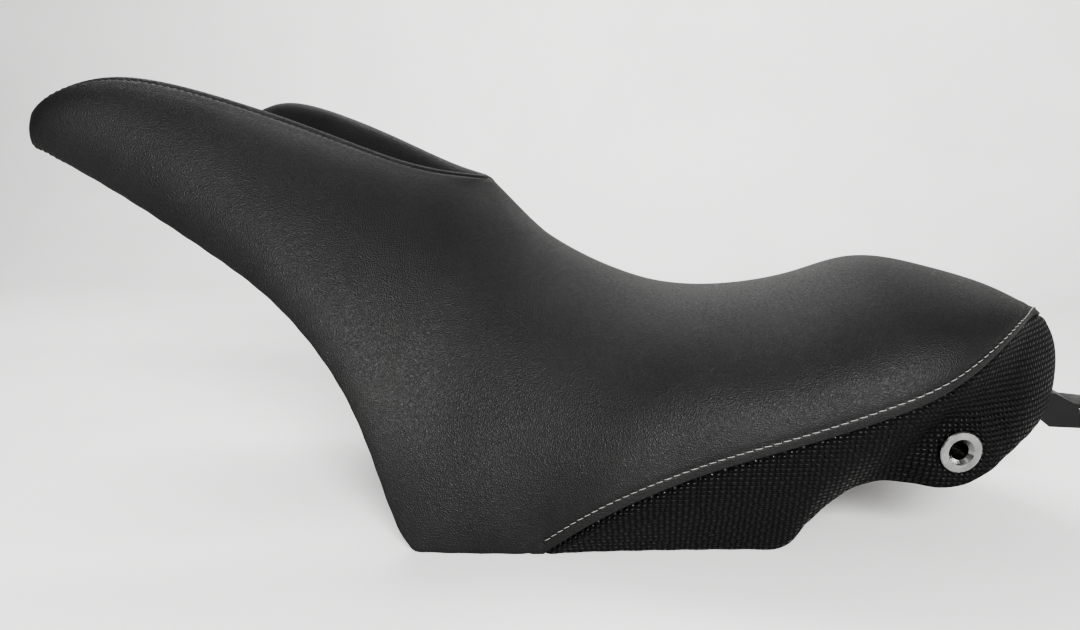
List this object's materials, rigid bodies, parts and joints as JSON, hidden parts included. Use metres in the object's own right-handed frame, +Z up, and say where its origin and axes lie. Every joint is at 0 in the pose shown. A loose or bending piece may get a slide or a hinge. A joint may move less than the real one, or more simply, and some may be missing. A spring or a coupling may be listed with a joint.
{
  "type": "motorcycle seat",
  "caption": "Padded rider's seat with a forked nose that straddles the tank, a deep scoop, a raised tail, sewn vinyl covers, a moulded pan and flanged side bushes.",
  "frame": {"origin": "middle of the bounding box at the level the seat stands on", "axes": "+X towards the tail, +Y towards the rider's right, +Z up"},
  "size_m": [0.6756, 0.3054, 0.2858],
  "materials": {
    "grained_vinyl": "matte black grained vinyl",
    "woven_vinyl": "semi-gloss black vinyl embossed with a basket weave",
    "foam": "moulded polyurethane foam",
    "pan_plastic": "moulded black plastic",
    "hook_plastic": "black moulded plastic",
    "rubber": "black rubber",
    "aluminium": "turned, clear anodised",
    "zinc_steel": "zinc plated"
  },
  "bodies": {
    "root": {"seat_pan": "pan_plastic", "foam_core": "foam", "cover_main": "grained_vinyl", "cover_insert": "grained_vinyl", "cover_weave_left": "woven_vinyl", "cover_weave_right": "woven_vinyl", "bush_left": "aluminium", "bush_right": "aluminium", "bush_nut_left": "aluminium", "bush_nut_right": "aluminium", "rear_hook": "hook_plastic", "rear_hook_screw_left": "zinc_steel", "rear_hook_screw_right": "zinc_steel", "front_tongue": "zinc_steel", "front_tongue_screw_left": "zinc_steel", "front_tongue_screw_right": "zinc_steel", "buffer_front_left": "rubber", "buffer_front_right": "rubber", "buffer_middle_left": "rubber", "buffer_middle_right": "rubber", "buffer_rear_left": "rubber", "buffer_rear_right": "rubber"}
  },
  "joints": []
}
